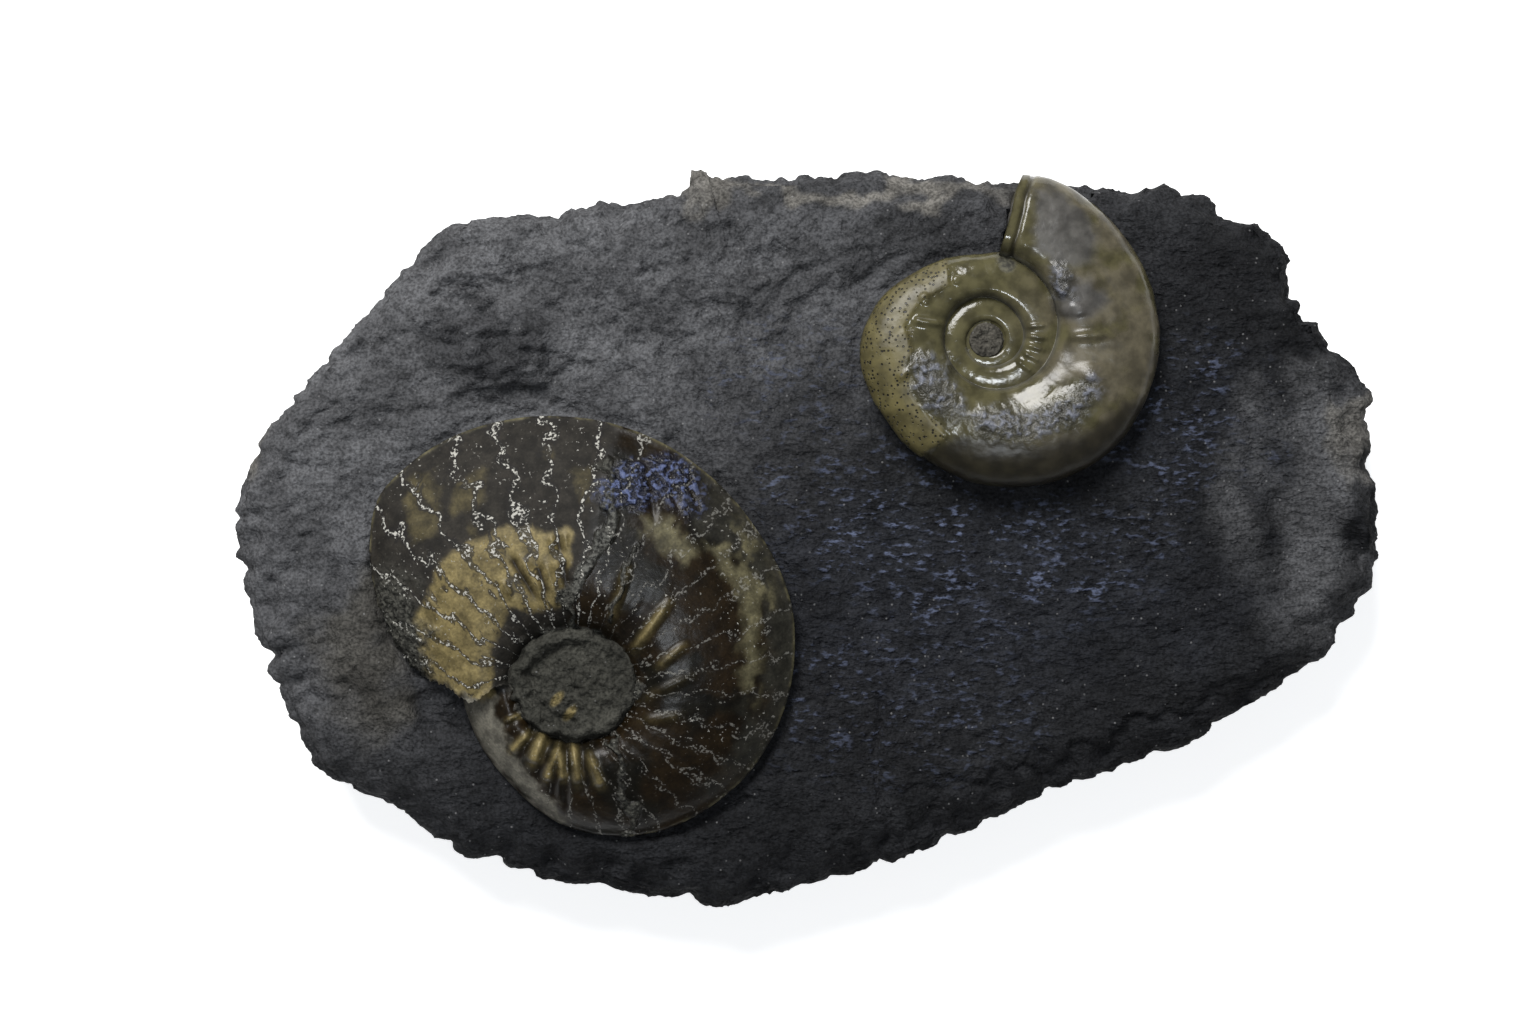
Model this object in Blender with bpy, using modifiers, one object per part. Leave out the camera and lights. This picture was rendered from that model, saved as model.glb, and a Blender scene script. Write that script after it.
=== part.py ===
"""Two pyritised ammonites fixed in a loose slab of dark layered shale, lying flat.

The slab lies along X and rests on its flat underside at Z = 0, with its middle at the origin.
Every length below is in millimetres and every angle in degrees.
"""

import math
from bisect import bisect_right
from dataclasses import dataclass

import bmesh
import bpy
from mathutils import Vector, noise

MM = 0.001

# The slab's outline at its widest, going round clockwise from its upper left corner.
SLAB_OUTLINE = (
    (-41, 37), (-34, 38), (-24, 39.5), (-15, 40.5), (-13.6, 41.2), (-12.6, 43.7), (-11.5, 42.2),
    (7.5, 43), (25, 41.5), (33.5, 41), (38.5, 40.3), (42, 41.5), (48, 39), (53, 37), (56.7, 32.5),
    (57, 28), (61.4, 22), (66.5, 16), (65.7, 12), (67.2, 5), (67, -1.5), (64.5, -7), (62.5, -10),
    (60, -14.5), (51.3, -20), (42, -25.3), (33.5, -27.7), (25.5, -31), (19.5, -34.5), (10, -38.4),
    (2, -40), (-10.4, -43.7), (-15, -42.2), (-24.3, -40.4), (-35, -38.7), (-42, -35.5),
    (-56.8, -27.7), (-60, -22), (-63.3, -15.5), (-65, -8.5), (-67.2, -2), (-67.2, 3), (-65.5, 7.5),
    (-59.7, 17), (-54.4, 23.6), (-46, 32.6),
)
SLAB_TOP = 14.4
# The slab's side, from the underside up: height, and how far it lies inside the outline.
SLAB_SIDE = ((0, 5.0), (2.2, 2.6), (5.5, 0.9), (9.5, 0), (12.2, 1.0))
SIDE_ROUGHNESS = 0.7
RIM_INSET = 1.8
RIM_DROP = 2.0
RIM_SHARE = 0.16
TOP_ROUGHNESS = 0.35
ROUGHNESS_LENGTH = 9.0

# The knob of rock that stands up at the upper left.
KNOB_PLACE = (-36.5, 22.0)
KNOB_RADII = (9.0, 7.0)
KNOB_HEIGHT = 2.0

# The gap that every piece keeps to the rock or shell round it.
GAP = 0.35

# How finely the slab's top is divided, and the angle past which an edge of a shell is sharp.
SLAB_GRID = 24
SHARP_ANGLE = 40


@dataclass(frozen=True)
class Coil:
    """A flat spiral shell. Turn angles are counted back from the mouth, clockwise from above."""

    name: str
    place: tuple
    tilt: tuple
    mouth: float
    rim: tuple
    seam: tuple
    depth: tuple
    crest: float
    flank_power: float
    back_power: float
    floor: float
    turns: int
    steps: int
    flank_rows: int
    wall_rows: int


LARGE = Coil(
    name="large_ammonite",
    place=(-27.0, -17.0, 14.6),
    tilt=(1.0, -2.0),
    mouth=178,
    rim=(
        (0, 18.0), (14, 22.5), (32, 28.4), (45, 31.4), (88, 30.8), (133, 27.8), (157, 26.7),
        (178, 24.9), (203, 22.6), (227, 20.4), (268, 16.5), (303, 13.6), (335, 12.9), (360, 13.2),
    ),
    seam=((0, 7.4), (90, 6.6), (180, 7.2), (270, 6.6), (360, 6.3)),
    depth=((0, 5.0), (90, 6.0), (180, 5.8), (270, 4.7), (360, 3.8)),
    crest=0.22,
    flank_power=1.7,
    back_power=1.25,
    floor=1.4,
    turns=1,
    steps=60,
    flank_rows=8,
    wall_rows=2,
)

SMALL = Coil(
    name="small_ammonite",
    place=(20.8, 22.8, 16.2),
    tilt=(-4.0, 1.0),
    mouth=80,
    rim=(
        (0, 19.7), (35, 20.1), (80, 19.9), (125, 19.0), (170, 16.8), (215, 14.9), (260, 14.4),
        (305, 11.2), (345, 10.0), (360, 10.3), (400, 9.9), (450, 9.0), (540, 7.0), (630, 5.9),
        (720, 5.4),
    ),
    seam=(
        (0, 10.0), (48, 8.8), (95, 7.3), (159, 5.9), (225, 5.1), (330, 5.0), (390, 4.4),
        (440, 4.05), (505, 3.25), (620, 2.45), (720, 2.1),
    ),
    depth=((0, 3.4), (90, 3.9), (180, 3.6), (270, 3.0), (360, 2.3), (540, 1.5), (720, 1.0)),
    crest=0.4,
    flank_power=2.4,
    back_power=2.1,
    floor=0.5,
    turns=2,
    steps=40,
    flank_rows=5,
    wall_rows=2,
)

# The shale in the two umbilici: how high it stands over each shell's middle plane.
LARGE_FILL_TOP = 4.6
SMALL_FILL_TOP = 1.3
FILL_DOME = 0.5
FILL_SEGMENTS = 28

# A pocket's cutter reaches from the shell's widest plane to clear of the slab.
CUTTER_TOP = 14.0
CUTTER_LEAD = 4.0

COLOURS = {
    "matrix_slab": (0.045, 0.046, 0.05),
    "large_ammonite": (0.07, 0.05, 0.022),
    "small_ammonite": (0.16, 0.13, 0.045),
    "fill": (0.06, 0.062, 0.066),
}


def clear_scene():
    for item in list(bpy.data.objects):
        bpy.data.objects.remove(item, do_unlink=True)


def new_collection(name):
    made = bpy.data.collections.new(name)
    bpy.context.scene.collection.children.link(made)
    return made


def new_material(name, colour, roughness, metallic):
    made = bpy.data.materials.new(name)
    made.use_nodes = True
    shader = made.node_tree.nodes["Principled BSDF"]
    shader.inputs["Base Color"].default_value = (*colour, 1)
    shader.inputs["Roughness"].default_value = roughness
    shader.inputs["Metallic"].default_value = metallic
    return made


def new_object(name, bm, collection, material=None):
    """The object of a finished bmesh, whose lengths are turned from millimetres to metres."""
    bmesh.ops.recalc_face_normals(bm, faces=bm.faces)
    bmesh.ops.scale(bm, vec=(MM, MM, MM), verts=bm.verts)
    mesh = bpy.data.meshes.new(name)
    bm.to_mesh(mesh)
    bm.free()
    made = bpy.data.objects.new(name, mesh)
    collection.objects.link(made)
    if material:
        mesh.materials.append(material)
    return made


def slope(keys, index):
    before = keys[max(index - 1, 0)]
    after = keys[min(index + 1, len(keys) - 1)]
    return (after[1] - before[1]) / (after[0] - before[0])


def along(keys, position):
    """The value at a position on a smooth curve through the keys, held level past its ends."""
    if position <= keys[0][0]:
        return keys[0][1]
    if position >= keys[-1][0]:
        return keys[-1][1]
    left = bisect_right([key[0] for key in keys], position) - 1
    span = keys[left + 1][0] - keys[left][0]
    share = (position - keys[left][0]) / span
    rise = share * share * (3 - 2 * share)
    start_bend = share * (1 - share) ** 2
    end_bend = share * share * (share - 1)
    ends = keys[left][1] * (1 - rise) + keys[left + 1][1] * rise
    return ends + span * (slope(keys, left) * start_bend + slope(keys, left + 1) * end_bend)


def smooth_step(value):
    share = min(max(value, 0), 1)
    return share * share * (3 - 2 * share)


def outline_point(share):
    """A point of the slab's outline, a share of the way round it."""
    corners = [Vector(corner) for corner in SLAB_OUTLINE]
    lengths = [(corners[i - 1] - corners[i]).length for i in range(len(corners))]
    distance = (share % 1) * sum(lengths)
    for index, length in enumerate(lengths):
        if distance <= length:
            return corners[index - 1].lerp(corners[index], distance / length)
        distance -= length
    return corners[-1]


def slab_height(x, y, centre_share):
    """The slab's top surface. centre_share is 0 at the middle and 1 on the rim."""
    away = math.hypot((x - KNOB_PLACE[0]) / KNOB_RADII[0], (y - KNOB_PLACE[1]) / KNOB_RADII[1])
    knob = KNOB_HEIGHT * smooth_step(1.4 - away)
    rim = RIM_DROP * smooth_step((centre_share - 1) / RIM_SHARE + 1)
    place = Vector((x, y, 0)) / ROUGHNESS_LENGTH
    return SLAB_TOP + knob - rim + TOP_ROUGHNESS * noise.noise(place)


def square_rings(count):
    """The corners of a square grid, as rings that hold each corner's row and column."""
    rings = []
    for ring in range(count // 2 + 1):
        side = count - 2 * ring
        if side == 0:
            rings.append([(ring, ring)])
            continue
        path = [(ring, ring + step) for step in range(side)]
        path += [(ring + step, count - ring) for step in range(side)]
        path += [(count - ring, count - ring - step) for step in range(side)]
        path += [(count - ring - step, ring) for step in range(side)]
        rings.append(path)
    return rings


def slab_mesh():
    """A square grid drawn out to the slab's outline, with its sides and its flat underside."""
    bm = bmesh.new()
    corners = {}
    rings = square_rings(SLAB_GRID)
    for ring, path in enumerate(rings):
        centre_share = 1 - ring / (len(rings) - 1)
        for step, corner in enumerate(path):
            edge = outline_point(step / len(path))
            flat = edge * (1 - RIM_INSET / edge.length) * centre_share
            corners[corner] = bm.verts.new((*flat, slab_height(*flat, centre_share)))
    for row in range(SLAB_GRID):
        for column in range(SLAB_GRID):
            square = ((row, column), (row, column + 1), (row + 1, column + 1), (row + 1, column))
            bm.faces.new([corners[corner] for corner in square])
    above = [corners[corner] for corner in rings[0]]
    for height, inset in reversed(SLAB_SIDE):
        below = []
        for step in range(len(above)):
            edge = outline_point(step / len(above))
            place = Vector((*edge, 3 * height)) / ROUGHNESS_LENGTH
            rough = SIDE_ROUGHNESS * abs(noise.noise(place)) if inset else 0
            flat = edge * (1 - (inset + rough) / edge.length)
            below.append(bm.verts.new((*flat, height)))
        for step in range(len(above)):
            bm.faces.new((above[step - 1], above[step], below[step], below[step - 1]))
        above = below
    bm.faces.new(above)
    return bm


def turn_angle(coil, step, lead):
    """How far back from the mouth a column lies. The first one reaches past it by lead."""
    return 360 * step / coil.steps if step else -lead


def whorl_row(coil, angle, covered, extra):
    """(radius, height) of one whorl's upper side, from its rim, or from where the next whorl
    covers it, over its crest and down to its seam. extra makes the whorl that much fatter.
    """
    rim = along(coil.rim, angle) + extra
    seam = along(coil.seam, angle) - extra
    depth = along(coil.depth, angle) + extra
    crest = seam + coil.crest * (rim - seam)
    start = 0
    if covered is not None:
        reach = min(max((covered - crest) / (rim - crest), 0), 1)
        start = math.acos(reach ** (coil.flank_power / 2))
    row = []
    for step in range(coil.flank_rows + 1):
        turn = start + (math.pi / 2 - start) * step / coil.flank_rows
        out = math.cos(turn) ** (2 / coil.flank_power) if turn < math.pi / 2 else 0
        up = math.sin(turn) ** (2 / coil.back_power)
        row.append((crest + (rim - crest) * out, depth * up))
    foot = seam_height(coil, angle, seam, extra)
    for step in range(1, coil.wall_rows + 1):
        turn = math.pi / 2 * step / coil.wall_rows
        radius = crest - (crest - seam) * math.sin(turn)
        row.append((radius, foot + (depth - foot) * math.cos(turn)))
    return row


def seam_height(coil, angle, seam, extra):
    """How high the whorl inside this one stands where this one's seam meets it."""
    inner = angle + 360
    if inner > 360 * coil.turns:
        return coil.floor + extra
    rim = along(coil.rim, inner)
    crest = along(coil.seam, inner)
    crest += coil.crest * (rim - crest)
    reach = min(max((seam - crest) / (rim - crest), 0), 1)
    return along(coil.depth, inner) * (1 - reach**coil.flank_power) ** (1 / coil.back_power)


def coil_side(bm, coil, rim_verts, side, extra=0.0, lead=0.0):
    """The faces of one side of a coil, above for side 1 and below for side -1, down to a flat
    centre. Each whorl shares its outer edge with the seam of the whorl outside it. Returns the
    edge of the mouth, from the rim to the seam.
    """
    columns = []
    last = coil.steps * coil.turns
    for step in range(last + 1):
        angle = turn_angle(coil, step, lead)
        outside = columns[step - coil.steps][-1] if step >= coil.steps else None
        covered = math.hypot(outside.co.x, outside.co.y) if outside else None
        row = whorl_row(coil, angle, covered, extra)
        facing = math.radians(coil.mouth - angle)
        column = [outside or rim_verts[step]]
        for radius, height in row[1:]:
            place = (radius * math.cos(facing), radius * math.sin(facing), side * height)
            column.append(bm.verts.new(place))
        columns.append(column)
    for before, after in zip(columns, columns[1:]):
        for row in range(len(before) - 1):
            bm.faces.new((before[row], before[row + 1], after[row + 1], after[row]))
    seam = [column[-1] for column in columns[last - coil.steps :]]
    end = columns[-1]
    for row in range(len(end) - 1):
        bm.faces.new((seam[1], end[row + 1], end[row]))
    floor = sum(abs(vert.co.z) for vert in seam) / len(seam)
    middle = bm.verts.new((0, 0, side * floor))
    for before, after in zip(seam[1:], seam[2:]):
        bm.faces.new((before, after, middle))
    bm.faces.new((seam[-1], seam[1], middle))
    return columns[0]


def rim_circle(bm, coil, extra=0.0, lead=0.0):
    """The coil's outer edge, in its middle plane, from the mouth back through one whorl."""
    verts = []
    for step in range(coil.steps):
        angle = turn_angle(coil, step, lead)
        radius = along(coil.rim, angle) + extra
        facing = math.radians(coil.mouth - angle)
        verts.append(bm.verts.new((radius * math.cos(facing), radius * math.sin(facing), 0)))
    return verts


def close_mouth(bm, rim_verts, upper, lower):
    """The flat end of the last whorl, where it meets the back of the whorl inside it."""
    inner = rim_verts[-1]
    edge = upper + lower[:0:-1]
    for before, after in zip(edge[len(upper) - 1 :: -1], edge[len(upper) - 2 :: -1]):
        bm.faces.new((inner, before, after))
    below = [edge[0]] + lower[1:]
    for before, after in zip(below, below[1:]):
        bm.faces.new((inner, before, after))


def coil_mesh(coil):
    bm = bmesh.new()
    rim_verts = rim_circle(bm, coil)
    upper = coil_side(bm, coil, rim_verts, side=1)
    lower = coil_side(bm, coil, rim_verts, side=-1)
    close_mouth(bm, rim_verts, upper, lower)
    return bm


def stand(obj, coil):
    """Puts an object that was made round the coil's own middle where the coil lies."""
    obj.location = Vector(coil.place) * MM
    obj.rotation_euler = (math.radians(coil.tilt[0]), math.radians(coil.tilt[1]), 0)


def build_coil(coil, collection, material):
    shell = new_object(coil.name, coil_mesh(coil), collection, material)
    shell.data.shade_smooth()
    shell.data.set_sharp_from_angle(angle=math.radians(SHARP_ANGLE))
    stand(shell, coil)
    return shell


def build_slab(collection, cutters, material):
    slab = new_object("matrix_slab", slab_mesh(), collection, material)
    for coil in (LARGE, SMALL):
        pocket = new_object(coil.name + "_pocket", pocket_mesh(coil), cutters)
        pocket.hide_render = True
        pocket.display_type = "WIRE"
        stand(pocket, coil)
        cut = slab.modifiers.new(coil.name, "BOOLEAN")
        cut.operation = "DIFFERENCE"
        cut.object = pocket
    return slab


def pocket_mesh(coil):
    """The coil's lower side, made fatter by the gap, drawn straight up to clear of the slab."""
    bm = bmesh.new()
    rim_verts = rim_circle(bm, coil, GAP, CUTTER_LEAD)
    lower = coil_side(bm, coil, rim_verts, side=-1, extra=GAP, lead=CUTTER_LEAD)
    for before, after in zip(lower[1:], lower[2:]):
        bm.faces.new((rim_verts[-1], before, after))
    bm.faces.new((rim_verts[-1], rim_verts[0], lower[1]))
    top = [bm.verts.new((vert.co.x, vert.co.y, CUTTER_TOP)) for vert in rim_verts]
    for step in range(len(rim_verts)):
        bm.faces.new((rim_verts[step - 1], rim_verts[step], top[step], top[step - 1]))
    bm.faces.new(top)
    return bm


def build_fill(name, coil, top, collection, material):
    """A low dome of shale inside the innermost seam of a coil."""
    bm = bmesh.new()
    radius = min(along(coil.seam, 360 * coil.turns - turn) for turn in range(0, 360, 10)) - GAP
    bottom = coil.floor + GAP
    bmesh.ops.create_cone(
        bm,
        cap_ends=True,
        segments=FILL_SEGMENTS,
        radius1=radius,
        radius2=radius,
        depth=top - bottom,
    )
    bmesh.ops.translate(bm, verts=bm.verts, vec=(0, 0, (top + bottom) / 2))
    fill = new_object(name, bm, collection, material)
    bevel = fill.modifiers.new("rounded edge", "BEVEL")
    bevel.width = FILL_DOME * MM
    bevel.segments = 2
    bevel.angle_limit = math.radians(60)
    stand(fill, coil)
    return fill


def main():
    clear_scene()
    pieces = new_collection("ammonites_in_shale")
    cutters = new_collection("cutters")
    shale = new_material("shale", COLOURS["matrix_slab"], roughness=0.6, metallic=0.0)
    dark_shell = new_material("dark shell", COLOURS["large_ammonite"], roughness=0.25, metallic=0.2)
    olive_shell = new_material("olive shell", COLOURS["small_ammonite"], roughness=0.2, metallic=0.3)
    fill = new_material("umbilicus shale", COLOURS["fill"], roughness=0.8, metallic=0.0)
    build_slab(pieces, cutters, shale)
    build_coil(LARGE, pieces, dark_shell)
    build_coil(SMALL, pieces, olive_shell)
    build_fill("large_umbilicus_fill", LARGE, LARGE_FILL_TOP, pieces, fill)
    build_fill("small_umbilicus_fill", SMALL, SMALL_FILL_TOP, pieces, fill)


main()
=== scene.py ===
"""The looks of two pyritised ammonites in a loose slab of dark shale, seen from straight above.

Lengths are in millimetres until a mesh is made, and angles are in degrees. A mark that follows the
photograph is given by its pixels, in a frame of 1536 by 1024, and lies on the surface under it.
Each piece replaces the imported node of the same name.
"""

import math

import bpy
import numpy as np
from mathutils import Euler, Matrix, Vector, noise


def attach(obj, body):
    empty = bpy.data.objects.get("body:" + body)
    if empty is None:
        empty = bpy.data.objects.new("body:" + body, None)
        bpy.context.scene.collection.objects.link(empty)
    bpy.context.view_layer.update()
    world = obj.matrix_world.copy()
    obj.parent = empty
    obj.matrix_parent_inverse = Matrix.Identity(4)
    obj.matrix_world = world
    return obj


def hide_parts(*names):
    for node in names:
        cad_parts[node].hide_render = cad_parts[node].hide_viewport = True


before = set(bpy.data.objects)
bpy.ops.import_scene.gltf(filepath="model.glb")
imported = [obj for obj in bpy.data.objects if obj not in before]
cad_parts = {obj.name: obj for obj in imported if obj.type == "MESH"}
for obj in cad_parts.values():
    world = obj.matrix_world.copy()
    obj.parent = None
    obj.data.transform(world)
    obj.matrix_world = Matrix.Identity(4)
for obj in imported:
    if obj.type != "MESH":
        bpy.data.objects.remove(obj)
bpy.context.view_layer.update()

MM = 0.001

# The camera looks straight down. A pixel of the photograph is PIXEL wide at the slab's widest.
PHOTO_SIZE = (1536, 1024)
PIXEL = 0.117
WIDEST_HEIGHT = 9.5
CAMERA_PLACE = (-4.52, 2.97)
LENS, SENSOR = 100.0, 36.0
CAMERA_DISTANCE = PHOTO_SIZE[0] * PIXEL * LENS / SENSOR

# The slab's outline in pixels, going round clockwise from its upper left corner.
SLAB_OUTLINE = (
    (457, 221), (488, 217), (516, 213), (554, 216), (569, 208), (600, 200), (629, 202), (652, 197),
    (680, 193), (689, 186), (691, 168), (699, 164), (705, 167), (708, 176), (723, 177), (747, 174),
    (772, 176), (807, 174), (830, 177), (841, 173), (869, 169), (892, 172), (917, 178), (940, 173),
    (960, 175), (970, 180), (1008, 181), (1035, 184), (1066, 185), (1094, 185), (1123, 189),
    (1137, 193), (1148, 186), (1164, 183), (1182, 192), (1201, 192), (1218, 203), (1224, 219),
    (1242, 222), (1258, 221), (1274, 238), (1283, 246), (1291, 260), (1287, 269), (1292, 297),
    (1299, 301), (1306, 320), (1319, 322), (1321, 331), (1331, 349), (1341, 353), (1354, 363),
    (1359, 375), (1371, 391), (1375, 402), (1367, 418), (1372, 448), (1368, 462), (1381, 493),
    (1377, 518), (1379, 550), (1374, 586), (1360, 598), (1354, 615), (1340, 625), (1333, 651),
    (1318, 661), (1294, 674), (1277, 690), (1245, 707), (1221, 722), (1206, 735), (1185, 747),
    (1147, 757), (1106, 775), (1079, 782), (1026, 804), (974, 831), (941, 842), (915, 858),
    (894, 866), (880, 862), (862, 873), (824, 880), (778, 894), (745, 902), (718, 911), (707, 908),
    (695, 900), (678, 898), (639, 897), (619, 891), (599, 883), (572, 886), (552, 883), (526, 873),
    (509, 868), (496, 858), (469, 859), (456, 854), (450, 841), (428, 838), (413, 820), (381, 801),
    (339, 783), (312, 767), (307, 753), (296, 728), (282, 706), (276, 687), (266, 670), (272, 654),
    (264, 650), (254, 638), (251, 609), (243, 590), (244, 567), (233, 556), (233, 512), (241, 480),
    (247, 473), (258, 443), (272, 422), (296, 392), (330, 353), (342, 336), (360, 319), (378, 296),
    (411, 259), (429, 241), (439, 232),
)
SPUR_PLACE = (699, 170)

SLAB_TOP = 14.4
SLAB_GRID = 236
SIDE_ROWS = 34
RIM_INSET = 1.5
RIM_DROP = 2.3
RIM_WIDTH = 6.5
# How far the slab's side lies inside the outline at each height.
SLAB_SIDE = ((0, 4.8), (1.5, 2.9), (4.0, 1.3), (7.0, 0.4), (9.5, 0.0), (11.0, 0.3), (12.2, 1.5))

# Ledges on the slab's top, in pixels: a line, and how far the ground to the left of it drops.
LEDGES = (
    (((372, 380), (348, 402), (322, 415), (291, 455), (256, 504)), 0.9),
    (((575, 372), (540, 386), (500, 396), (455, 392)), 1.1),
    (((436, 296), (440, 312), (458, 325), (480, 340)), 0.8),
    (((590, 262), (552, 264), (500, 282), (450, 290)), 0.6),
    (((810, 262), (777, 275), (746, 296)), 0.5),
    (((846, 282), (810, 288), (784, 303)), 0.5),
    (((930, 260), (892, 265), (841, 293)), 0.7),
    (((1240, 400), (1256, 480), (1290, 590), (1330, 600)), 0.6),
    (((1130, 245), (1180, 268), (1230, 300), (1262, 330)), 0.7),
    (((1330, 640), (1250, 680), (1150, 722), (1000, 770), (880, 800)), 0.9),
)
LEDGE_REACH = 46
# Cracks, in pixels: a line, its half width and its depth.
CRACKS = (
    (((883, 699), (877, 757), (888, 816), (878, 851), (882, 870)), 3.5, 0.5),
    (((833, 828), (839, 869)), 3.0, 0.35),
    (((680, 828), (690, 849)), 2.5, 0.35),
    (((640, 834), (690, 830), (740, 800)), 4.5, 0.9),
)
# Rises and hollows of the slab's top, in pixels: the middle, the two radii and the rise.
SWELLS = (
    ((498, 348), (84, 62), 1.3),
    ((378, 620), (62, 120), 1.2),
    ((440, 716), (50, 34), -1.1),
    ((1010, 530), (170, 60), -0.5),
    ((1310, 500), (90, 150), -0.5),
    ((700, 250), (200, 80), 0.7),
)


def on_photo(x, y, height):
    """The pixel that shows a point of the object, or arrays of them."""
    scale = CAMERA_DISTANCE / (CAMERA_DISTANCE - (height - WIDEST_HEIGHT)) / PIXEL
    column = PHOTO_SIZE[0] / 2 + (x - CAMERA_PLACE[0]) * scale
    row = PHOTO_SIZE[1] / 2 - (y - CAMERA_PLACE[1]) * scale
    return column, row


def from_photo(column, row, height=WIDEST_HEIGHT):
    """The place on the ground of what a pixel shows at a height."""
    scale = PIXEL * (CAMERA_DISTANCE - (height - WIDEST_HEIGHT)) / CAMERA_DISTANCE
    x = CAMERA_PLACE[0] + (column - PHOTO_SIZE[0] / 2) * scale
    y = CAMERA_PLACE[1] - (row - PHOTO_SIZE[1] / 2) * scale
    return x, y


def smooth_step(low, high, value):
    share = np.clip((value - low) / (high - low), 0, 1)
    return share * share * (3 - 2 * share)


def fractal(points, size, octaves=4, seed=0):
    """Layered noise about 0 at each point, whose largest bumps are size across."""
    scaled = np.asarray(points) / np.asarray(size) + seed * np.array((17.3, 9.1, 5.7))
    return np.array([noise.fractal(Vector(point), 1.0, 2.1, octaves) for point in scaled])


def turned(points, degrees):
    """Points turned round Z, so that noise can be stretched along a slanting grain."""
    c, s = math.cos(math.radians(degrees)), math.sin(math.radians(degrees))
    return points @ np.array(((c, -s, 0), (s, c, 0), (0, 0, 1)))


def near_line(column, row, line):
    """How far pixels lie from a line, on which side of it, left being above 0, and how far
    along it, from 0 to 1.
    """
    best = np.full(column.shape, 1e9)
    side = np.ones(column.shape)
    share = np.zeros(column.shape)
    for index, ((x0, y0), (x1, y1)) in enumerate(zip(line, line[1:])):
        run_x, run_y = x1 - x0, y1 - y0
        inside = ((column - x0) * run_x + (row - y0) * run_y) / (run_x**2 + run_y**2)
        inside = np.clip(inside, 0, 1)
        away = np.hypot(column - x0 - inside * run_x, row - y0 - inside * run_y)
        cross = (column - x0) * run_y - (row - y0) * run_x
        nearer = away < best
        side = np.where(nearer, np.sign(cross), side)
        share = np.where(nearer, (index + inside) / (len(line) - 1), share)
        best = np.where(nearer, away, best)
    return best, side, share


def blob(column, row, centre, radii, turn=0.0):
    """1 in the middle of an ellipse of pixels, falling to 0 at its edge."""
    c, s = math.cos(math.radians(turn)), math.sin(math.radians(turn))
    right, down = column - centre[0], row - centre[1]
    away = np.hypot((right * c + down * s) / radii[0], (down * c - right * s) / radii[1])
    return 1 - smooth_step(0.4, 1.0, away)


def patch(column, row, corners, feather=6.0):
    """1 inside a polygon of pixels and 0 outside, with an edge that is feather wide."""
    closed = tuple(corners) + (corners[0],)
    away, _, _ = near_line(column, row, closed)
    inside = np.zeros(column.shape, bool)
    for (x0, y0), (x1, y1) in zip(closed, closed[1:]):
        if y0 != y1:
            crosses = (y0 > row) != (y1 > row)
            inside ^= crosses & (column < x0 + (row - y0) * (x1 - x0) / (y1 - y0))
    return smooth_step(-feather / 2, feather / 2, np.where(inside, away, -away))


def along(keys, positions):
    """Values at positions on a smooth curve through the keys, held level past its ends."""
    x, y = np.array(keys, float).T
    slopes = np.empty_like(y)
    slopes[1:-1] = (y[2:] - y[:-2]) / (x[2:] - x[:-2])
    slopes[0], slopes[-1] = (y[1] - y[0]) / (x[1] - x[0]), (y[-1] - y[-2]) / (x[-1] - x[-2])
    at = np.clip(positions, x[0], x[-1])
    left = np.clip(np.searchsorted(x, at, side="right") - 1, 0, len(x) - 2)
    span = x[left + 1] - x[left]
    share = (at - x[left]) / span
    rise = share * share * (3 - 2 * share)
    ends = y[left] * (1 - rise) + y[left + 1] * rise
    bend = slopes[left] * share * (1 - share) ** 2 + slopes[left + 1] * share**2 * (share - 1)
    return ends + span * bend


class Coil:
    """A flat spiral shell. Turn angles are counted back from the mouth, clockwise from above."""

    def __init__(self, **facts):
        self.__dict__.update(facts)
        tilt = Euler((math.radians(self.tilt[0]), math.radians(self.tilt[1]), 0)).to_matrix()
        self.rotation = np.array(tilt)

    def crest_radius(self, angle):
        seam = along(self.seam, angle)
        return seam + along(self.crest, angle) * (along(self.rim, angle) - seam)

    def flank_height(self, angle, radius):
        """How high the flank stands over the middle plane, from its crest out to its rim."""
        crest = self.crest_radius(angle)
        reach = np.clip((radius - crest) / (along(self.rim, angle) - crest), 0, 1)
        return along(self.depth, angle) * (1 - reach**self.flank_power) ** (1 / self.back_power)

    def foot_height(self, angle):
        """How high the whorl inside stands where this whorl's seam meets it."""
        inner = self.flank_height(angle + 360, along(self.seam, angle))
        return np.where(angle + 360 > 360 * self.turns, self.floor, inner)

    def polar(self, x, y):
        """The turn angle of the last whorl, and the radius, over points of the ground."""
        right, up = x - self.place[0], y - self.place[1]
        angle = (self.mouth - np.degrees(np.arctan2(up, right))) % 360
        return angle, np.hypot(right, up)

    def plane_height(self, x, y):
        """The height of the coil's middle plane over points of the ground."""
        tilt_x, tilt_y, upright = self.rotation[:, 2]
        lean = (x - self.place[0]) * tilt_x + (y - self.place[1]) * tilt_y
        return self.place[2] - lean / upright

    def in_place(self, local):
        return local @ self.rotation.T + np.array(self.place)


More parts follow.
